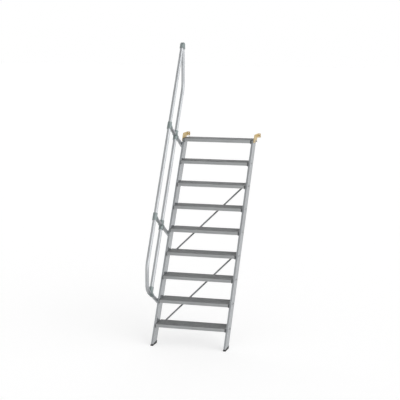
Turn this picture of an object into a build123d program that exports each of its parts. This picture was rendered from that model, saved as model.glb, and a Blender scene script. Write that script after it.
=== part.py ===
from build123d import *
import math
import os

# Straight aluminium stair of nine steps between two leaning stringers, with a
# tube handrail and knee rail on its left side, fixed to a wall or a platform
# edge by two brackets at the top.
# Millimetres.  +Z is up and +Y is the way a person climbs, towards the wall.
# The wall face is the plane Y = 0.  The origin is in the middle of the back
# face of the left wall bracket's flange.

# Steps
step_count = 9
rise = 240.0
slope_angle = 60.0
clear_width = 790.0
first_rise = 222.0
tread_depth = 220.0
tread_height = 34.0
tread_nose = 40.0

# Tread extrusion
tread_wall = 2.5
rib_pitch = 11.0
rib_width = 5.0
rib_height = 1.5
tread_web_count = 3
tread_lip = 14.0
apron_groove_depth = 1.0
apron_groove_height = 5.0
apron_groove_drop = 20.0

# Plates on the tread ends
end_plate_thickness = 6.0
end_plate_above = 1.5
end_plate_below = 6.0
end_plate_border = 2.0
end_plate_corner = 6.0
end_plate_gap = 0.2

# Stringer extrusion
stringer_width = 25.0
stringer_depth = 120.0
stringer_wall = 2.5
stringer_corner = 3.0
groove_width = 14.0
groove_depth = 1.2
groove_pitch = 36.0
groove_count = 3
inner_web_count = 2

# Caps and feet of the stringers
cap_thickness = 5.0
cap_plug_depth = 22.0
plug_clearance = 0.3
sole_thickness = 12.0
boot_wall = 2.5
boot_front_height = 15.0
boot_rear_height = 24.0
foot_plug_depth = 30.0

# Rails
tube_diameter = 40.0
tube_wall = 2.0
handrail_offset = 470.0
knee_rail_offset = 206.0
upper_post_drop = 60.0
middle_post_drop = 1151.0
lower_post_drop = 1946.0
handrail_bend_rise = 230.0
handrail_corner_rise = 1009.0
handrail_bend_radius = 200.0
handrail_curl_radius = 90.0
return_bend_radius = 230.0
post_tail = 100.0

# Tube fittings
fitting_wall = 5.0
fit_clearance = 0.3
tee_sleeve_length = 84.0
cross_sleeve_length = 110.0
lower_sleeve_reach = 75.0
socket_length = 26.0
tube_stop = 2.0
elbow_bend_radius = 14.0
elbow_mouth = 94.0
knuckle_step = 3.0
knuckle_rounding = 9.0
elbow_tube_start = 80.0

# Saddles between the posts and the stringer
saddle_length = 80.0
saddle_front_gap = 12.0
saddle_thickness = 4.0
saddle_wrap = 8.0
saddle_width = 34.0

# Wall brackets
wall_gap = 20.0
bracket_thickness = 6.0
bracket_arm_height = 46.0
bracket_above_tread = 11.0
bracket_stem_drop = 32.0
bracket_stem_width = 150.0
flange_width = 36.0
flange_hole_diameter = 9.0
flange_hole_spacing = 24.0
bracket_corner = 5.0

# Diagonal braces behind the treads
brace_diameter = 18.0
brace_first_step = 1
brace_steps = 3
brace_inset = 40.0
brace_gap = 0.5
lug_thickness = 5.0
lug_width = 32.0

# Places that follow from the sizes above
slope = math.radians(slope_angle)
going = rise / math.tan(slope)
tube_radius = tube_diameter / 2
top_tread_z = -(bracket_above_tread + bracket_arm_height / 2)
floor_z = top_tread_z - (step_count - 1) * rise - first_rise
front_y = -wall_gap - tread_depth + tread_nose
inner_face = clear_width / 2
outer_face = inner_face + stringer_width
rail_x = -(outer_face + saddle_thickness + tube_radius + fit_clearance)
origin_x = -outer_face - bracket_thickness + flange_width / 2
up_slope = Vector(0, math.cos(slope), math.sin(slope))
off_slope = Vector(0, -math.sin(slope), math.cos(slope))


def on_slope(x, along, out):
    """Point at x, `along` up the stringer's front face and `out` square off it."""
    return Vector(x, front_y, top_tread_z) + up_slope * along + off_slope * out


def slope_plane(x, along, out):
    """Plane square to the stringers: its X is +X and its Y points to the rear face."""
    return Plane(origin=on_slope(x, along, out), x_dir=(1, 0, 0), z_dir=tuple(up_slope))


def post_plane(along, out):
    """Plane square to the posts: its X is +X and its Z points out of the slope."""
    return Plane(origin=on_slope(rail_x, along, out), x_dir=(1, 0, 0), z_dir=tuple(off_slope))


def tread_front_y(step):
    return front_y - tread_nose - (step_count - step) * going


def tread_top_z(step):
    return top_tread_z - (step_count - step) * rise


def box_between(low, high):
    """Box from its lowest corner to its highest."""
    size = [b - a for a, b in zip(low, high)]
    middle = [(a + b) / 2 for a, b in zip(low, high)]
    return Pos(*middle) * Box(*size)


def across(sketch, start, length):
    """Side view, drawn as Y and Z, carried to the right from X = start."""
    plane = Plane(origin=(start, 0, 0), x_dir=(0, 1, 0), z_dir=(1, 0, 0))
    return extrude(plane * sketch, length, dir=(1, 0, 0))


def run_between(section, start, end):
    """Section carried in a straight line from one point to another."""
    way = end - start
    plane = Plane(origin=start, z_dir=tuple(way.normalized()))
    return extrude(plane * section, way.length, dir=way.normalized())


def rod(start, end, radius):
    return run_between(Circle(radius), start, end)


tube_section = Circle(tube_radius) - Circle(tube_radius - tube_wall)


def bent_tube(points, radii):
    """Tube along straight runs joined by arcs."""
    path = FilletPolyline(*points, radius=radii)
    return sweep(Plane(origin=path @ 0, z_dir=path % 0) * tube_section, path=path)


def straight_tube(start, end):
    return run_between(tube_section, start, end)


# Stringers

def stringer_outline(grow=0.0):
    outline = RectangleRounded(stringer_width + 2 * grow, stringer_depth + 2 * grow, stringer_corner + grow)
    return Pos(0, stringer_depth / 2) * outline


def stringer_chambers(clearance=0.0):
    """The hollow chambers inside the extrusion, split by its cross webs."""
    web_sum = (inner_web_count + 2) * stringer_wall
    chamber = (stringer_depth - web_sum) / (inner_web_count + 1)
    width = stringer_width - 2 * stringer_wall - 2 * groove_depth
    chambers = Sketch()
    for index in range(inner_web_count + 1):
        middle = stringer_wall + chamber / 2 + index * (chamber + stringer_wall)
        chambers += Pos(0, middle) * Rectangle(width - 2 * clearance, chamber - 2 * clearance)
    return chambers


def stringer_profile():
    """Rounded box section with shallow grooves along both sides."""
    profile = stringer_outline()
    for side in (-1, 1):
        for index in range(groove_count):
            place = stringer_depth / 2 + (index - (groove_count - 1) / 2) * groove_pitch
            profile -= Pos(side * stringer_width / 2, place) * Rectangle(2 * groove_depth, groove_width)
    return profile - stringer_chambers()


def along_at(z, out):
    """How far up the slope a line `out` square off the front face reaches height z."""
    return (z - top_tread_z - out * math.cos(slope)) / math.sin(slope)


def slope_extrusion(sketch, x, low_z, high_z):
    """Section carried along the stringer and cut level at both ends."""
    low = along_at(low_z, 0) - stringer_depth
    high = along_at(high_z, -stringer_depth) + stringer_depth
    bar = extrude(slope_plane(x, low, 0) * sketch, high - low, dir=up_slope)
    reach = 4 * stringer_depth
    low_y = on_slope(x, low, 0).Y - reach
    high_y = on_slope(x, high, 0).Y + reach
    return bar & box_between((x - reach, low_y, low_z), (x + reach, high_y, high_z))


stringer_low_z = floor_z + sole_thickness
stringer_high_z = top_tread_z - cap_thickness


def stringer(x):
    return slope_extrusion(stringer_profile(), x, stringer_low_z, stringer_high_z)


def stringer_cap(x):
    """Plastic cap: a plate on the cut end and plugs that fill the chambers' mouths."""
    plate = slope_extrusion(stringer_outline(), x, stringer_high_z, top_tread_z)
    plugs = stringer_chambers(plug_clearance)
    return plate + slope_extrusion(plugs, x, stringer_high_z - cap_plug_depth, stringer_high_z)


def foot(x):
    """Rubber boot: sole, a rim round the stringer that rises to the rear, and plugs."""
    reach = 2 * stringer_depth
    outer = slope_extrusion(stringer_outline(boot_wall), x, floor_z, floor_z + boot_rear_height)
    rear_y = on_slope(x, along_at(floor_z, -stringer_depth), -stringer_depth).Y
    front_edge_y = on_slope(x, along_at(floor_z, 0), 0).Y
    rim = Polygon(
        (front_edge_y - reach, floor_z),
        (rear_y + reach, floor_z),
        (rear_y + reach, floor_z + boot_rear_height),
        (rear_y, floor_z + boot_rear_height),
        (front_edge_y, floor_z + boot_front_height),
        (front_edge_y - reach, floor_z + boot_front_height),
        align=None,
    )
    outer &= across(rim, x - reach, 2 * reach)
    boot = outer - slope_extrusion(stringer_outline(plug_clearance), x, stringer_low_z, floor_z + reach)
    plugs = stringer_chambers(plug_clearance)
    return boot + slope_extrusion(plugs, x, stringer_low_z, stringer_low_z + foot_plug_depth)


# Treads

def tread_profile():
    """Open extrusion in the side view: ribbed top, two aprons with lips and hidden webs."""
    inside = tread_depth - 2 * tread_wall
    section = Pos(tread_depth / 2, -tread_height / 2) * Rectangle(tread_depth, tread_height)
    section -= Pos(tread_depth / 2, -tread_wall - tread_height / 2) * Rectangle(inside, tread_height)
    for edge in (tread_wall + tread_lip / 2, tread_depth - tread_wall - tread_lip / 2):
        section += Pos(edge, -tread_height + tread_wall / 2) * Rectangle(tread_lip, tread_wall)
    bay = tread_depth / (tread_web_count + 1)
    for index in range(tread_web_count):
        web_height = tread_height / 2
        section += Pos((index + 1) * bay, -web_height / 2) * Rectangle(tread_wall, web_height)
    grooves = int((tread_depth - rib_width) // rib_pitch)
    first = (tread_depth - (grooves - 1) * rib_pitch) / 2
    for index in range(grooves):
        groove_place = first + index * rib_pitch
        section -= Pos(groove_place, 0) * Rectangle(rib_pitch - rib_width, 2 * rib_height)
    for edge in (0, tread_depth):
        section -= Pos(edge, -apron_groove_drop) * Rectangle(2 * apron_groove_depth, apron_groove_height)
    return section


def at_step(step, sketch):
    """Tread section moved to its step in the side view."""
    return Pos(tread_front_y(step), tread_top_z(step)) * sketch


def tread(step):
    length = clear_width - 2 * (end_plate_thickness + end_plate_gap)
    return across(at_step(step, tread_profile()), -length / 2, length)


def end_plate_outline():
    height = tread_height + end_plate_above + end_plate_below
    depth = tread_depth + 2 * end_plate_border
    middle = end_plate_above - height / 2
    return Pos(tread_depth / 2, middle) * RectangleRounded(depth, height, end_plate_corner)


def tread_end_plates(step):
    """The two plates that close a tread and are bolted to the stringers."""
    outline = at_step(step, end_plate_outline())
    left = across(outline, -inner_face, end_plate_thickness)
    right = across(outline, inner_face - end_plate_thickness, end_plate_thickness)
    return left + right


# Rails and posts

def handrail():
    """Tube that drops straight down at its foot and curls in to the lowest post."""
    corner = on_slope(rail_x, handrail_corner_rise, handrail_offset)
    top = corner - up_slope * elbow_tube_start
    bend = on_slope(rail_x, handrail_bend_rise - lower_post_drop, handrail_offset)
    post_foot = on_slope(rail_x, -lower_post_drop, knee_rail_offset)
    reach = (post_foot.Y - bend.Y) / math.sin(slope)
    curl = post_foot + off_slope * reach
    end = post_foot + off_slope * (tube_radius + tube_stop)
    return bent_tube([top, bend, curl, end], [handrail_bend_radius, handrail_curl_radius])


def knee_rail():
    """Tube that comes straight down from the top fitting and then follows the slope."""
    corner = on_slope(rail_x, handrail_corner_rise, handrail_offset)
    top = corner - Vector(0, 0, elbow_tube_start)
    drop = (handrail_offset - knee_rail_offset) / math.cos(slope)
    bend = corner - Vector(0, 0, drop)
    end = on_slope(rail_x, -lower_post_drop + tube_radius + tube_stop, knee_rail_offset)
    return bent_tube([top, bend, end], [return_bend_radius])


def post(drop):
    """A post in two lengths, above and below the knee rail."""
    stop = tube_radius + tube_stop
    tail = on_slope(rail_x, -drop, -post_tail)
    below = straight_tube(tail, on_slope(rail_x, -drop, knee_rail_offset - stop))
    above = straight_tube(
        on_slope(rail_x, -drop, knee_rail_offset + stop),
        on_slope(rail_x, -drop, handrail_offset - stop),
    )
    return below + above


def lowest_post():
    """The lowest post ends under the knee rail, in line with the curled handrail."""
    tail = on_slope(rail_x, -lower_post_drop, -post_tail)
    stop = tube_radius + tube_stop
    return straight_tube(tail, on_slope(rail_x, -lower_post_drop, knee_rail_offset - stop))


# Fittings

def fitting(centre, arms):
    """Sleeves that meet at a point, bored for the tubes that enter them."""
    outer_radius = tube_radius + fitting_wall
    bore_radius = tube_radius + fit_clearance
    body = Sphere(outer_radius)
    bores = Sphere(bore_radius)
    for way, length in arms:
        body += rod(Vector(0, 0, 0), way * length, outer_radius)
        bores += rod(Vector(0, 0, 0), way * (length + 1), bore_radius)
    return Pos(*centre) * (body - bores)


socket_reach = tube_radius + tube_stop + socket_length


def handrail_tee(drop):
    half_sleeve = tee_sleeve_length / 2
    arms = [(up_slope, half_sleeve), (up_slope * -1, half_sleeve), (off_slope * -1, socket_reach)]
    return fitting(on_slope(rail_x, -drop, handrail_offset), arms)


def knee_rail_cross(drop):
    half_sleeve = cross_sleeve_length / 2
    arms = [(up_slope, half_sleeve), (up_slope * -1, half_sleeve)]
    arms += [(off_slope, socket_reach), (off_slope * -1, socket_reach)]
    return fitting(on_slope(rail_x, -drop, knee_rail_offset), arms)


def lower_tee():
    arms = [(off_slope, socket_reach), (off_slope * -1, socket_reach), (up_slope, lower_sleeve_reach)]
    return fitting(on_slope(rail_x, -lower_post_drop, knee_rail_offset), arms)


def top_elbow():
    """Tight cast elbow that joins the handrail to the upright tube."""
    corner = on_slope(rail_x, handrail_corner_rise, handrail_offset)
    half_angle = (math.pi / 2 - slope) / 2
    tangent = elbow_bend_radius / math.tan(half_angle)
    centre_reach = elbow_bend_radius / math.sin(half_angle)
    inward = (up_slope * -1 + Vector(0, 0, -1)).normalized()
    centre = corner + inward * centre_reach
    outer_radius = tube_radius + fitting_wall
    knuckle = Cylinder(outer_radius + elbow_bend_radius - knuckle_step, 2 * (outer_radius - knuckle_step))
    knuckle = fillet(knuckle.edges().filter_by(GeomType.CIRCLE), knuckle_rounding)
    body = Pos(*centre) * Rot(0, 90, 0) * knuckle
    bores = None
    for way in (up_slope * -1, Vector(0, 0, -1)):
        body += rod(corner + way * tangent, corner + way * elbow_mouth, outer_radius)
        start = corner + way * (elbow_tube_start - tube_stop)
        bore = rod(start, corner + way * (elbow_mouth + 1), tube_radius + fit_clearance)
        bores = bore if bores is None else bores + bore
    return body - bores


def post_saddle(drop):
    """Block with a hollow seat that spaces a post off the stringer's outer face."""
    face = -outer_face - rail_x
    height = saddle_thickness + saddle_wrap
    section = Pos(face - height / 2, 0) * Rectangle(height, saddle_width)
    section -= Circle(tube_radius + fit_clearance)
    return extrude(post_plane(-drop, -saddle_front_gap - saddle_length) * section, saddle_length, dir=off_slope)


# Wall brackets

def wall_bracket(side):
    """Bent plate: a stem on the stringer's outer face, an arm to the wall and a flange."""
    arm_top = bracket_arm_height / 2
    stem_top = on_slope(0, along_at(arm_top, 0), 0).Y
    stem_rear = on_slope(0, along_at(-arm_top, 0), 0).Y + bracket_stem_width
    stem_low_z = top_tread_z - bracket_stem_drop
    stem_low = on_slope(0, along_at(stem_low_z, 0), 0).Y
    outline = Polygon(
        (stem_top, arm_top),
        (0, arm_top),
        (0, -arm_top),
        (stem_rear, -arm_top),
        (stem_low + bracket_stem_width, stem_low_z),
        (stem_low, stem_low_z),
        align=None,
    )
    outline = fillet(outline.vertices().sort_by(Axis.Y)[:2], bracket_corner)
    start = outer_face if side > 0 else -outer_face - bracket_thickness
    plate = across(outline, start, bracket_thickness)
    flange = box_between(
        (start, -bracket_thickness, -arm_top),
        (start + flange_width, 0, arm_top),
    )
    for shift in (-0.5, 0.5):
        hole_at = Pos(start + flange_width / 2, -bracket_thickness / 2, shift * flange_hole_spacing)
        flange -= hole_at * Rot(90, 0, 0) * Cylinder(flange_hole_diameter / 2, 4 * bracket_thickness)
    return plate + flange


# Braces

def brace_line(first_step):
    """Ends of a brace, behind the lower rear edges of the treads that it crosses."""
    rear = tread_depth - tread_nose + tread_height / math.tan(slope)
    out = -rear * math.sin(slope) - brace_diameter / 2 - brace_gap
    half = inner_face - brace_inset
    low_z = tread_top_z(first_step) - tread_height / 2
    high_z = tread_top_z(first_step + brace_steps) - tread_height / 2
    low = on_slope(-half, along_at(low_z, out), out)
    high = on_slope(half, along_at(high_z, out), out)
    return low, high


def brace(first_step):
    low, high = brace_line(first_step)
    return rod(low, high, brace_diameter / 2)


def brace_lug(first_step, upper):
    """Flat lug from a tread's rear apron to the end of a brace."""
    step = first_step + brace_steps if upper else first_step
    end = brace_line(first_step)[1 if upper else 0]
    apron_y = tread_front_y(step) + tread_depth
    low = (end.X - lug_width / 2, apron_y, end.Z - lug_thickness / 2)
    high = (end.X + lug_width / 2, end.Y, end.Z + lug_thickness / 2)
    low_end, high_end = brace_line(first_step)
    clear = rod(low_end, high_end, brace_diameter / 2 + fit_clearance)
    return box_between(low, high) - clear


os.makedirs("parts", exist_ok=True)
to_origin = Pos(-origin_x, 0, 0)


def save(name, shape):
    export_step(to_origin * shape, f"parts/{name}.step")


stringer_centre = inner_face + stringer_width / 2
for side_name, side in (("left", -1), ("right", 1)):
    save(f"{side_name}_stringer", stringer(side * stringer_centre))
    save(f"{side_name}_stringer_cap", stringer_cap(side * stringer_centre))
    save(f"{side_name}_foot", foot(side * stringer_centre))
    save(f"{side_name}_wall_bracket", wall_bracket(side))

for step in range(1, step_count + 1):
    save(f"tread_{step}", tread(step))
    save(f"tread_{step}_end_plates", tread_end_plates(step))

save("handrail", handrail())
save("knee_rail", knee_rail())
save("top_elbow", top_elbow())
save("upper_post", post(upper_post_drop))
save("middle_post", post(middle_post_drop))
save("lower_post", lowest_post())
save("upper_handrail_tee", handrail_tee(upper_post_drop))
save("middle_handrail_tee", handrail_tee(middle_post_drop))
save("upper_knee_rail_cross", knee_rail_cross(upper_post_drop))
save("middle_knee_rail_cross", knee_rail_cross(middle_post_drop))
save("lower_tee", lower_tee())
for name, drop in (("upper", upper_post_drop), ("middle", middle_post_drop), ("lower", lower_post_drop)):
    save(f"{name}_post_saddle", post_saddle(drop))

upper_brace_step = brace_first_step + brace_steps
for name, first_step in (("lower", brace_first_step), ("upper", upper_brace_step)):
    save(f"{name}_brace", brace(first_step))
    save(f"{name}_brace_lugs", brace_lug(first_step, False) + brace_lug(first_step, True))
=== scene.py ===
import math

import bmesh
import bpy
from mathutils import Matrix, Vector


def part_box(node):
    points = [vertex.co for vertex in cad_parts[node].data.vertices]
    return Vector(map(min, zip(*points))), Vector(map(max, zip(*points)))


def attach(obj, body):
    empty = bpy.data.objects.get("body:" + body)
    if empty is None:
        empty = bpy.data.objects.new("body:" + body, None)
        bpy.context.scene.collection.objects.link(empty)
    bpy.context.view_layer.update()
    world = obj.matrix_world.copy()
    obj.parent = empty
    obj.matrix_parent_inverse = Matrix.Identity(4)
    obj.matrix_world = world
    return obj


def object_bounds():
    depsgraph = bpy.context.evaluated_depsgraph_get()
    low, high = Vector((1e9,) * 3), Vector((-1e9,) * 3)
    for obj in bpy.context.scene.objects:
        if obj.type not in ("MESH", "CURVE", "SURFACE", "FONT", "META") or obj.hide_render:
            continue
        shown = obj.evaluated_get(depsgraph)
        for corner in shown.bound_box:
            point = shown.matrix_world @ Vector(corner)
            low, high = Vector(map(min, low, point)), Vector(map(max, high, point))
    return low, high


# Looks of an aluminium stair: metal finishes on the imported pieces, the bolts and
# screws that hold them together, a pale floor, soft light and the camera.
# Metres.  +Z is up, +Y is the way a person climbs and +X is across the treads.

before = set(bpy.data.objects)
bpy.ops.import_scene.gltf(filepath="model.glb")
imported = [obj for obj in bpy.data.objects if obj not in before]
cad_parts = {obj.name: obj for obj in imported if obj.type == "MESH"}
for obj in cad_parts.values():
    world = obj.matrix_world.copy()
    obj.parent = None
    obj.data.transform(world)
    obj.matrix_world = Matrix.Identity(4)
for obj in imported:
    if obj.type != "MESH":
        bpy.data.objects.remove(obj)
cad_low, cad_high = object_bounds()

# Camera, fitted to the edges of the treads and stringers
camera_place = Vector((4.1145, -13.948, 1.4974))
camera_turn = math.radians(15.915)
camera_dip = math.radians(8.934)
camera_lens = 112.37
camera_sensor = 36.0
camera_range = 200.0

# Lamps: place as seen from the stair's middle, strength and breadth in degrees
lamps = {
    "right_light": (Vector((8.0, -1.5, 2.4)), 2.2, 85),
    "front_light": (Vector((1.5, -8.0, 2.0)), 0.5, 60),
    "back_light": (Vector((-3.0, 7.0, 3.0)), 0.6, 60),
}

# Studio: its even fill, and the ceiling that metal mirrors, which darkens to its level
# between two heights (0 is level with the stair, 1 is straight overhead)
sky_fill = 0.45
ceiling_starts = 0.45
ceiling_ends = 0.85
ceiling_level = 0.15

# Floor, whose lift brings it up to white
floor_size = 120.0
floor_tone = 0.45
floor_gloss = 0.1
floor_lift = 0.627

# Finishes: noise mostly lies between its two values, the surface's normals match to
# edge_match on a sharp edge and to flat_match on a flat face, a face counts as a side
# or a top where it looks that way squarely enough, and the dust and painted shade between
# the ribs start under rib_darkening_start and are full at rib_depth
noise_low = 0.3
noise_high = 0.7
edge_samples = 6
edge_match = 0.72
flat_match = 0.995
grain_stretch = 90
side_starts = 0.85
side_ends = 0.98
top_starts = 0.4
top_ends = 0.8
rib_darkening_start = 0.0003
rib_depth = 0.0014
tread_gloss = 0.02
# Braces take the tube finish darkened by this factor: painted shade
brace_painted_shade = 0.48

# Fasteners
turn_segments = 36
sharp_angle = math.radians(35)
tread_bolt_depths = (0.042, 0.078)
tread_bolt_drop = 0.017
tread_bolt_radius = 0.0072
tread_washer_radius = 0.0085
bracket_bolt_depth = 0.107
bracket_bolt_drop = 0.024
bracket_thickness = 0.006
washer_thickness = 0.0015
washer_chamfer = 0.2 * washer_thickness
head_height = 0.0052
head_chamfer = 0.12 * head_height
head_crown = 0.84
post_bolt_spacing = 0.044
post_bolt_radius = 0.0075
post_bolt_height = 0.0042
rail_spacing = 0.264
fitting_wall = 0.005
sleeve_screw_reach = 0.03
socket_screw_reach = 0.036
set_screw_radius = 0.0042
set_screw_height = 0.0009
set_screw_sink = 0.0003
lug_width = 0.032
lug_thickness = 0.005
brace_bolt_radius = 0.0055
brace_washer_radius = 0.0065
brace_washer_sink = 0.0012

# Treads that each brace joins
brace_treads = {"lower": (1, 4), "upper": (4, 7)}

# Button head: shares of its radius and height from rim to socket, and whether it is six-sided there
button_profile = (
    (1.0, 0.0, False),
    (1.0, 0.2, False),
    (0.93, 0.55, False),
    (0.75, 0.86, False),
    (0.52, 1.0, False),
    (0.42, 1.0, True),
    (0.42, 0.35, True),
)

# Places that the fasteners share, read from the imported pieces
step_count = sum(name.startswith("tread_") and name[6:].isdigit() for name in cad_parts)
first_tread_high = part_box("tread_1")[1]
last_tread_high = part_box(f"tread_{step_count}")[1]
climb = last_tread_high - first_tread_high
slope = math.atan2(climb.z, climb.y)
rise = climb.z / (step_count - 1)
up_slope = Vector((0, math.cos(slope), math.sin(slope)))
off_slope = Vector((0, -math.sin(slope), math.cos(slope)))
left = Vector((-1, 0, 0))
right = Vector((1, 0, 0))
behind = Vector((0, 1, 0))
up = Vector((0, 0, 1))
left_stringer_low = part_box("left_stringer")[0]
right_stringer_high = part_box("right_stringer")[1]
left_bracket_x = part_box("left_wall_bracket")[0].x
right_bracket_x = right_stringer_high.x + bracket_thickness
post_low, post_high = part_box("lower_post")
rail_x = (post_low.x + post_high.x) / 2
tube_radius = (post_high.x - post_low.x) / 2


def middle(node):
    low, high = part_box(node)
    return (low + high) / 2


def on_stringer(x, depth, z):
    """Point at height z, `depth` square in from the stringers' front face."""
    start = Vector((x, left_stringer_low.y, left_stringer_low.z)) - off_slope * depth
    return start + up_slope * ((z - start.z) / up_slope.z)


# Node materials

class Finish:
    """A procedural material being put together, with short calls for its nodes."""

    def __init__(self, name, metallic, roughness):
        self.material = bpy.data.materials.new(name)
        self.material.use_nodes = True
        self.tree = self.material.node_tree
        self.shader = self.tree.nodes["Principled BSDF"]
        self.set("Metallic", metallic)
        self.set("Roughness", roughness)

    def set(self, socket, value):
        self.shader.inputs[socket].default_value = value

    def drive(self, socket, value):
        self.tree.links.new(value, self.shader.inputs[socket])

    def node(self, kind, inputs=(), **settings):
        made = self.tree.nodes.new(kind)
        for key, value in settings.items():
            setattr(made, key, value)
        for key, value in dict(inputs).items():
            if isinstance(value, bpy.types.NodeSocket):
                self.tree.links.new(value, made.inputs[key])
            else:
                made.inputs[key].default_value = value
        return made

    def place(self):
        """The surface's place in metres."""
        return self.node("ShaderNodeTexCoord").outputs["Object"]

    def noise(self, scale, stretch=(1, 1, 1), turn=0.0, detail=3.0):
        """Noise in real metres, drawn out along the axes after a turn about X."""
        mapping = {"Vector": self.place(), "Rotation": (turn, 0, 0), "Scale": stretch}
        mapped = self.node("ShaderNodeMapping", mapping, vector_type="TEXTURE")
        noise = {"Vector": mapped.outputs[0], "Scale": scale, "Detail": detail}
        return self.node("ShaderNodeTexNoise", noise).outputs[0]

    def level(self, value, low, high, start=noise_low, end=noise_high):
        """Carries a value from start..end to low..high."""
        inputs = {"Value": value, "From Min": start, "From Max": end, "To Min": low, "To Max": high}
        return self.node("ShaderNodeMapRange", inputs).outputs[0]

    def blend(self, factor, first, second):
        """Mixes two colours, each a colour or the output of a node."""
        mix = self.node("ShaderNodeMix", data_type="RGBA")
        for index, value in ((0, factor), (6, first), (7, second)):
            if isinstance(value, bpy.types.NodeSocket):
                self.tree.links.new(value, mix.inputs[index])
            else:
                mix.inputs[index].default_value = (*value, 1.0)
        return mix.outputs[2]

    def mottle(self, noise, first, second):
        """Drifts between two colours with a noise."""
        return self.blend(self.level(noise, low=0, high=1), first, second)

    def math(self, operation, first, second=0.0, third=0.0):
        inputs = {0: first, 1: second, 2: third}
        return self.node("ShaderNodeMath", inputs, operation=operation).outputs[0]

    def dot(self, first, second):
        inputs = {0: first, 1: second}
        return self.node("ShaderNodeVectorMath", inputs, operation="DOT_PRODUCT").outputs["Value"]

    def facing(self, axis):
        """How squarely the surface faces along an axis, from -1 to 1."""
        return self.dot(self.node("ShaderNodeNewGeometry").outputs["True Normal"], axis)

    def edges(self, radius, strength):
        """The strength on edges within the radius, 0 on flat faces."""
        rounded = self.node("ShaderNodeBevel", {"Radius": radius}, samples=edge_samples).outputs[0]
        match = self.dot(rounded, self.node("ShaderNodeNewGeometry").outputs["Normal"])
        return self.level(match, low=strength, high=0, start=edge_match, end=flat_match)

    def bump(self, height, distance):
        bump = {"Height": height, "Distance": distance}
        self.drive("Normal", self.node("ShaderNodeBump", bump).outputs[0])


# Grains: noise drawn out up the slope, along the posts and along the treads
slope_grain = {"stretch": (1, 1, grain_stretch), "turn": slope - math.pi / 2}
post_grain = {"stretch": (1, 1, grain_stretch), "turn": slope}
tread_grain = {"stretch": (grain_stretch, 1, 1)}


def stringer_finish():
    """Extruded aluminium: satin in front, smoother on its sides, drawn lines up the slope."""
    grey = (0.4, 0.415, 0.43)
    pale = (0.46, 0.48, 0.495)
    line = (0.34, 0.35, 0.365)
    finish = Finish("stringer_aluminium", metallic=0.6, roughness=0.3)
    clouds = finish.noise(scale=3.0, detail=4.0)
    lines = finish.noise(scale=420.0, **slope_grain)
    tone = finish.mottle(clouds, grey, pale)
    finish.drive("Base Color", finish.blend(finish.level(lines, low=0, high=0.3), tone, line))
    side = finish.math("ABSOLUTE", finish.facing(right))
    on_side = {"start": side_starts, "end": side_ends}
    finish.drive("Metallic", finish.level(side, low=0.5, high=0.85, **on_side))
    satin = finish.level(side, low=0.38, high=0.08, **on_side)
    drawn = finish.level(side, low=1.0, high=0.2, **on_side)
    unevenness = finish.level(lines, low=-0.04, high=0.05)
    finish.drive("Roughness", finish.math("MULTIPLY_ADD", unevenness, drawn, satin))
    finish.bump(finish.math("MULTIPLY", lines, drawn), distance=0.00008)
    return finish.material


def tread_finish():
    """Extruded tread: ribbed top painted darker than the paler aprons as painted shade, with dust and
    painted shade between the ribs.
    """
    # Top tones painted darker than the apron tones: painted shade of light grazing the ribbed top
    shaded_top_grey = (0.165, 0.168, 0.17)
    shaded_top_pale = (0.21, 0.213, 0.215)
    # Groove tone: dust and painted shade between the ribs
    dust_and_shade = (0.125, 0.125, 0.123)
    apron_grey = (0.39, 0.4, 0.405)
    apron_pale = (0.47, 0.48, 0.485)
    finish = Finish("tread_aluminium", metallic=0.4, roughness=0.5)
    finish.set("Specular IOR Level", tread_gloss)
    clouds = finish.noise(scale=9.0, detail=5.0)
    lines = finish.noise(scale=500.0, **tread_grain)
    # Dust and painted shade between the ribs: darker with depth below each tread's top
    height = finish.node("ShaderNodeSeparateXYZ", {0: finish.place()}).outputs["Z"]
    below_top = finish.math("SUBTRACT", last_tread_high.z, height)
    depth = finish.math("FLOORED_MODULO", below_top, rise)
    rib_dust_and_shade = finish.level(depth, low=0.0, high=0.8, start=rib_darkening_start, end=rib_depth)
    shaded_top_tone = finish.blend(rib_dust_and_shade, finish.mottle(clouds, shaded_top_grey, shaded_top_pale), dust_and_shade)
    apron_tone = finish.mottle(lines, apron_grey, apron_pale)
    # Painted shade: faces that look up take the darker top tones
    upward = finish.level(finish.facing(up), low=0, high=1, start=top_starts, end=top_ends)
    finish.drive("Base Color", finish.blend(upward, apron_tone, shaded_top_tone))
    finish.drive("Metallic", finish.level(upward, low=0.4, high=0.1, start=0, end=1))
    finish.drive("Roughness", finish.level(clouds, low=0.42, high=0.6))
    finish.bump(lines, distance=0.0001)
    return finish.material


def end_plate_finish():
    """Dark coated plate with a faint texture and paler worn edges."""
    dark = (0.06, 0.064, 0.066)
    less_dark = (0.088, 0.092, 0.095)
    worn = (0.4, 0.4, 0.4)
    finish = Finish("end_plate_coating", metallic=0.2, roughness=0.45)
    grain = finish.noise(scale=900.0)
    tone = finish.mottle(grain, dark, less_dark)
    edges = finish.edges(radius=0.0012, strength=0.5)
    finish.drive("Base Color", finish.blend(edges, tone, worn))
    finish.drive("Roughness", finish.level(grain, low=0.38, high=0.52))
    finish.bump(grain, distance=0.0001)
    return finish.material


def tube_finish(name, grain, painted_shade_factor=1.0):
    """Anodised tube with drawn lines and a little cloudiness; a shade factor below 1 darkens all its
    tones as painted shade.
    """
    grey = tuple(painted_shade_factor * part for part in (0.45, 0.465, 0.48))
    pale = tuple(painted_shade_factor * part for part in (0.53, 0.545, 0.56))
    line = tuple(painted_shade_factor * part for part in (0.38, 0.39, 0.405))
    finish = Finish(name, metallic=0.6, roughness=0.4)
    clouds = finish.noise(scale=5.0, detail=4.0)
    lines = finish.noise(scale=520.0, **grain)
    tone = finish.mottle(clouds, grey, pale)
    finish.drive("Base Color", finish.blend(finish.level(lines, low=0, high=0.3), tone, line))
    finish.drive("Roughness", finish.level(lines, low=0.38, high=0.48))
    finish.bump(lines, distance=0.00006)
    return finish.material


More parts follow.
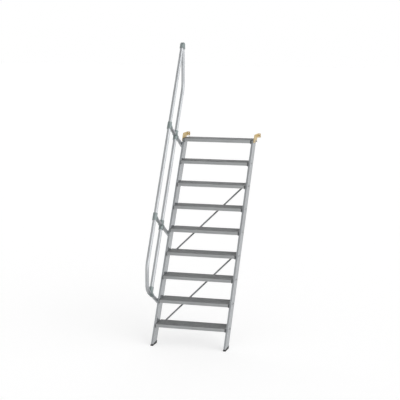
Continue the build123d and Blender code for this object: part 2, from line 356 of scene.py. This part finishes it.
def fitting_finish():
    """Cast aluminium: grey-green, grainy, rubbed bright on its edges."""
    green_grey = (0.22, 0.26, 0.263)
    pale_green_grey = (0.285, 0.328, 0.328)
    rubbed = (0.42, 0.46, 0.455)
    finish = Finish("cast_fitting", metallic=0.3, roughness=0.55)
    clouds = finish.noise(scale=40.0)
    grain = finish.noise(scale=1400.0, detail=2.0)
    tone = finish.mottle(clouds, green_grey, pale_green_grey)
    edges = finish.edges(radius=0.0015, strength=0.7)
    finish.drive("Base Color", finish.blend(edges, tone, rubbed))
    finish.drive("Roughness", finish.level(grain, low=0.42, high=0.6))
    finish.bump(grain, distance=0.0002)
    return finish.material


def bracket_finish():
    """Orange powder coat with a fine peel, thin on the edges."""
    orange = (0.57, 0.42, 0.18)
    pale_orange = (0.65, 0.48, 0.22)
    thin = (0.7, 0.58, 0.4)
    finish = Finish("orange_powder_coat", metallic=0.0, roughness=0.4)
    clouds = finish.noise(scale=25.0)
    peel = finish.noise(scale=700.0, detail=1.0)
    tone = finish.mottle(clouds, orange, pale_orange)
    edges = finish.edges(radius=0.001, strength=0.35)
    finish.drive("Base Color", finish.blend(edges, tone, thin))
    finish.drive("Roughness", finish.level(clouds, low=0.34, high=0.46))
    finish.bump(peel, distance=0.00015)
    return finish.material


def cap_finish():
    """Moulded dark grey plastic."""
    dark = (0.03, 0.031, 0.033)
    less_dark = (0.045, 0.046, 0.048)
    finish = Finish("dark_plastic", metallic=0.0, roughness=0.5)
    grain = finish.noise(scale=1100.0)
    finish.drive("Base Color", finish.mottle(grain, dark, less_dark))
    finish.drive("Roughness", finish.level(grain, low=0.42, high=0.58))
    finish.bump(grain, distance=0.00012)
    return finish.material


def rubber_finish():
    """Black rubber with a dusty bloom and a moulded grain."""
    black = (0.006, 0.006, 0.0065)
    dust_and_shade = (0.02, 0.0195, 0.019)
    finish = Finish("black_rubber", metallic=0.0, roughness=0.75)
    bloom = finish.noise(scale=60.0, detail=6.0)
    grain = finish.noise(scale=600.0)
    finish.drive("Base Color", finish.mottle(bloom, black, dust_and_shade))
    finish.drive("Roughness", finish.level(grain, low=0.65, high=0.85))
    finish.bump(grain, distance=0.00025)
    return finish.material


def zinc_finish():
    """Zinc-plated steel of the bolts and screws."""
    grey = (0.42, 0.43, 0.44)
    pale = (0.56, 0.56, 0.55)
    finish = Finish("zinc_plated_steel", metallic=0.9, roughness=0.32)
    spots = finish.noise(scale=260.0, detail=4.0)
    finish.drive("Base Color", finish.mottle(spots, grey, pale))
    finish.drive("Roughness", finish.level(spots, low=0.26, high=0.42))
    finish.bump(spots, distance=0.00005)
    return finish.material


cast_fitting = fitting_finish()
dark_plastic = cap_finish()
zinc_steel = zinc_finish()

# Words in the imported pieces' names and their finishes, of which the first that fits counts
node_finishes = {
    "end_plates": end_plate_finish(),
    "tread": tread_finish(),
    "cap": dark_plastic,
    "foot": rubber_finish(),
    "bracket": bracket_finish(),
    "stringer": stringer_finish(),
    "saddle": cast_fitting,
    "tee": cast_fitting,
    "cross": cast_fitting,
    "elbow": cast_fitting,
    "post": tube_finish("post_aluminium", post_grain),
    "rail": tube_finish("rail_aluminium", slope_grain),
    # Braces: a darker copy of the tube finish, painted shade
    "brace": tube_finish("brace_aluminium", {}, brace_painted_shade),
}

for name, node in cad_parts.items():
    node.data.materials.clear()
    node.data.materials.append(next(node_finishes[word] for word in node_finishes if word in name))


# Fasteners

def facing_matrix(point, direction):
    """Place whose Z axis points along the direction."""
    turn = direction.to_track_quat("Z", "Y").to_matrix().to_4x4()
    return Matrix.Translation(point) @ turn


def turned(mesh, place, rings):
    """Adds a shape made of rings (radius, height, six-sided or round) up the Z axis of place."""
    sixth = math.pi / 3
    previous = None
    for radius, height, six_sided in rings:
        ring = []
        for index in range(turn_segments):
            angle = 2 * math.pi * index / turn_segments
            reach = radius
            if six_sided:
                reach *= math.cos(sixth / 2) / math.cos(angle % sixth - sixth / 2)
            point = Vector((reach * math.cos(angle), reach * math.sin(angle), height))
            ring.append(mesh.verts.new(place @ point))
        if previous is None:
            mesh.faces.new(reversed(ring))
        else:
            for index in range(turn_segments):
                after = (index + 1) % turn_segments
                mesh.faces.new((previous[index], previous[after], ring[after], ring[index]))
        previous = ring
    mesh.faces.new(previous)


def hex_bolt(mesh, place, corner_radius, washer_radius):
    """Washer and chamfered six-sided head."""
    top = washer_thickness + head_height
    crown_radius = corner_radius * head_crown
    rings = (
        (washer_radius, 0, False),
        (washer_radius, washer_thickness - washer_chamfer, False),
        (washer_radius - washer_chamfer, washer_thickness, False),
        (corner_radius, washer_thickness, True),
        (corner_radius, top - head_chamfer, True),
        (crown_radius, top, False),
        (corner_radius / 2, top, False),
    )
    turned(mesh, place, rings)


def button_head(mesh, place, radius, height):
    """Domed head with a six-sided socket."""
    rings = []
    for radius_share, height_share, six_sided in button_profile:
        rings.append((radius * radius_share, height * height_share, six_sided))
    turned(mesh, place, rings)


def piece(name, mesh, material):
    """Turns a finished mesh into a piece of the stair with its finish, hung under the root body."""
    data = bpy.data.meshes.new(name)
    mesh.to_mesh(data)
    mesh.free()
    data.materials.append(material)
    made = bpy.data.objects.new(name, data)
    bpy.context.scene.collection.objects.link(made)
    data.shade_smooth()
    data.set_sharp_from_angle(angle=sharp_angle)
    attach(made, "root")


def tread_bolts(side_name, stringer_x, bracket_x, outward):
    """Two bolts a tread through a stringer's outer face, and at the top through its bracket."""
    mesh = bmesh.new()
    for step in range(1, step_count + 1):
        z = first_tread_high.z + (step - 1) * rise - tread_bolt_drop
        face_x = bracket_x if step == step_count else stringer_x
        for depth in tread_bolt_depths:
            place = facing_matrix(on_stringer(face_x, depth, z), outward)
            hex_bolt(mesh, place, tread_bolt_radius, tread_washer_radius)
    piece(f"{side_name}_tread_bolts", mesh, zinc_steel)


def bracket_bolt(side_name, bracket_x, outward):
    """One dark bolt at the rear of a bracket's stem."""
    mesh = bmesh.new()
    z = last_tread_high.z - bracket_bolt_drop
    place = facing_matrix(on_stringer(bracket_x, bracket_bolt_depth, z), outward)
    hex_bolt(mesh, place, tread_bolt_radius, tread_washer_radius)
    piece(f"{side_name}_bracket_bolt", mesh, dark_plastic)


def post_bolts():
    """Two button heads through each post and its saddle."""
    mesh = bmesh.new()
    for post in ("upper", "middle", "lower"):
        centre = middle(f"{post}_post_saddle")
        centre.x = rail_x - tube_radius
        for side in (-0.5, 0.5):
            point = centre + off_slope * side * post_bolt_spacing
            button_head(mesh, facing_matrix(point, left), post_bolt_radius, post_bolt_height)
    piece("post_bolts", mesh, zinc_steel)


def knee_point(post):
    """Where a post crosses the knee rail's line."""
    seat = middle("upper_post_saddle")
    crossing = middle("upper_knee_rail_cross")
    point = middle(f"{post}_post_saddle") + off_slope * (crossing - seat).dot(off_slope)
    point.x = rail_x
    return point


def set_screw(mesh, point):
    """Screw in the wall of a fitting, on the side of the treads."""
    face = point + right * (tube_radius + fitting_wall - set_screw_sink)
    button_head(mesh, facing_matrix(face, right), set_screw_radius, set_screw_height)


def set_screws():
    """One set screw in each sleeve and socket of the rail fittings."""
    mesh = bmesh.new()
    along = up_slope * sleeve_screw_reach
    across = off_slope * socket_screw_reach
    for post in ("upper", "middle"):
        knee = knee_point(post)
        handrail = knee + off_slope * rail_spacing
        for shift in (along, -along, across, -across):
            set_screw(mesh, knee + shift)
        for shift in (along, -along, -across):
            set_screw(mesh, handrail + shift)
    lowest = knee_point("lower")
    for shift in (along, across, -across):
        set_screw(mesh, lowest + shift)
    piece("grub_screws", mesh, zinc_steel)


def brace_bolts():
    """A bolt from behind through each end of a brace into its lug."""
    mesh = bmesh.new()
    for brace, (lower_step, upper_step) in brace_treads.items():
        lugs_low, lugs_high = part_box(f"{brace}_brace_lugs")
        lug_reach = lugs_high.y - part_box(f"tread_{upper_step}")[1].y
        low_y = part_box(f"tread_{lower_step}")[1].y + lug_reach
        rod_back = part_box(f"{brace}_brace")[1].y - lugs_high.y - brace_washer_sink
        for x, y, z in (
            (lugs_low.x + lug_width / 2, low_y, lugs_low.z + lug_thickness / 2),
            (lugs_high.x - lug_width / 2, lugs_high.y, lugs_high.z - lug_thickness / 2),
        ):
            place = facing_matrix(Vector((x, y + rod_back, z)), behind)
            hex_bolt(mesh, place, brace_bolt_radius, brace_washer_radius)
    piece("brace_bolts", mesh, zinc_steel)


tread_bolts("left", left_stringer_low.x, left_bracket_x, left)
bracket_bolt("left", left_bracket_x, left)
tread_bolts("right", right_stringer_high.x, right_bracket_x, right)
bracket_bolt("right", right_bracket_x, right)
post_bolts()
set_screws()
brace_bolts()


# Background, light and camera

def floor():
    """Pale floor that looks white and keeps the stair's soft shadow."""
    mesh = bmesh.new()
    bmesh.ops.create_grid(mesh, x_segments=1, y_segments=1, size=floor_size / 2)
    data = bpy.data.meshes.new("floor")
    mesh.to_mesh(data)
    mesh.free()
    made = bpy.data.objects.new("floor", data)
    bpy.context.scene.collection.objects.link(made)
    made.location = ((cad_low.x + cad_high.x) / 2, cad_low.y, cad_low.z)
    finish = Finish("pale_floor", metallic=0.0, roughness=0.9)
    finish.set("Base Color", (floor_tone, floor_tone, floor_tone, 1))
    finish.set("Specular IOR Level", floor_gloss)
    finish.set("Emission Color", (1, 1, 1, 1))
    rays = finish.node("ShaderNodeLightPath").outputs
    seen = finish.math("MAXIMUM", rays["Is Camera Ray"], rays["Is Glossy Ray"])
    seen = finish.math("MAXIMUM", seen, rays["Is Transmission Ray"])
    finish.drive("Emission Strength", finish.math("MULTIPLY", seen, floor_lift))
    data.materials.append(finish.material)


def studio():
    """White all round, an even fill on the stair, and a dark ceiling in what metal mirrors."""
    world = bpy.data.worlds.new("studio")
    bpy.context.scene.world = world
    world.use_nodes = True
    tree = world.node_tree

    def math_node(operation, first, second):
        made = tree.nodes.new("ShaderNodeMath")
        made.operation = operation
        for socket, value in zip(made.inputs, (first, second)):
            if isinstance(value, bpy.types.NodeSocket):
                tree.links.new(value, socket)
            else:
                socket.default_value = value
        return made.outputs[0]

    split = tree.nodes.new("ShaderNodeSeparateXYZ")
    tree.links.new(tree.nodes.new("ShaderNodeTexCoord").outputs["Generated"], split.inputs[0])
    ceiling = tree.nodes.new("ShaderNodeMapRange")
    ceiling.interpolation_type = "SMOOTHSTEP"
    tree.links.new(split.outputs["Z"], ceiling.inputs["Value"])
    ceiling.inputs["From Min"].default_value = ceiling_starts
    ceiling.inputs["From Max"].default_value = ceiling_ends
    ceiling.inputs["To Min"].default_value = 1.0
    ceiling.inputs["To Max"].default_value = ceiling_level
    rays = tree.nodes.new("ShaderNodeLightPath").outputs
    seen = math_node("MAXIMUM", rays["Is Camera Ray"], rays["Is Transmission Ray"])
    mirrored = math_node("MULTIPLY", rays["Is Glossy Ray"], ceiling.outputs[0])
    fill = math_node("MULTIPLY", math_node("SUBTRACT", 1.0, rays["Is Glossy Ray"]), sky_fill)
    strength = math_node("MAXIMUM", math_node("MAXIMUM", seen, mirrored), fill)
    background = tree.nodes["Background"]
    background.inputs["Color"].default_value = (1, 1, 1, 1)
    tree.links.new(strength, background.inputs["Strength"])


def lamp(name, place, strength, breadth):
    """Broad sun that shines from a place seen from the stair's middle."""
    data = bpy.data.lights.new(name, "SUN")
    data.energy = strength
    data.angle = math.radians(breadth)
    made = bpy.data.objects.new(name, data)
    bpy.context.scene.collection.objects.link(made)
    made.location = (cad_low + cad_high) / 2 + place
    made.rotation_mode = "QUATERNION"
    made.rotation_quaternion = place.to_track_quat("Z", "Y")


def camera():
    data = bpy.data.cameras.new("camera")
    data.sensor_width = camera_sensor
    data.lens = camera_lens
    data.clip_end = camera_range
    made = bpy.data.objects.new("camera", data)
    bpy.context.scene.collection.objects.link(made)
    made.location = camera_place
    made.rotation_euler = (math.pi / 2 - camera_dip, 0, camera_turn)
    bpy.context.scene.camera = made


floor()
studio()
for name, (place, strength, breadth) in lamps.items():
    lamp(name, place, strength, breadth)
camera()
bpy.context.scene.view_settings.view_transform = "Standard"
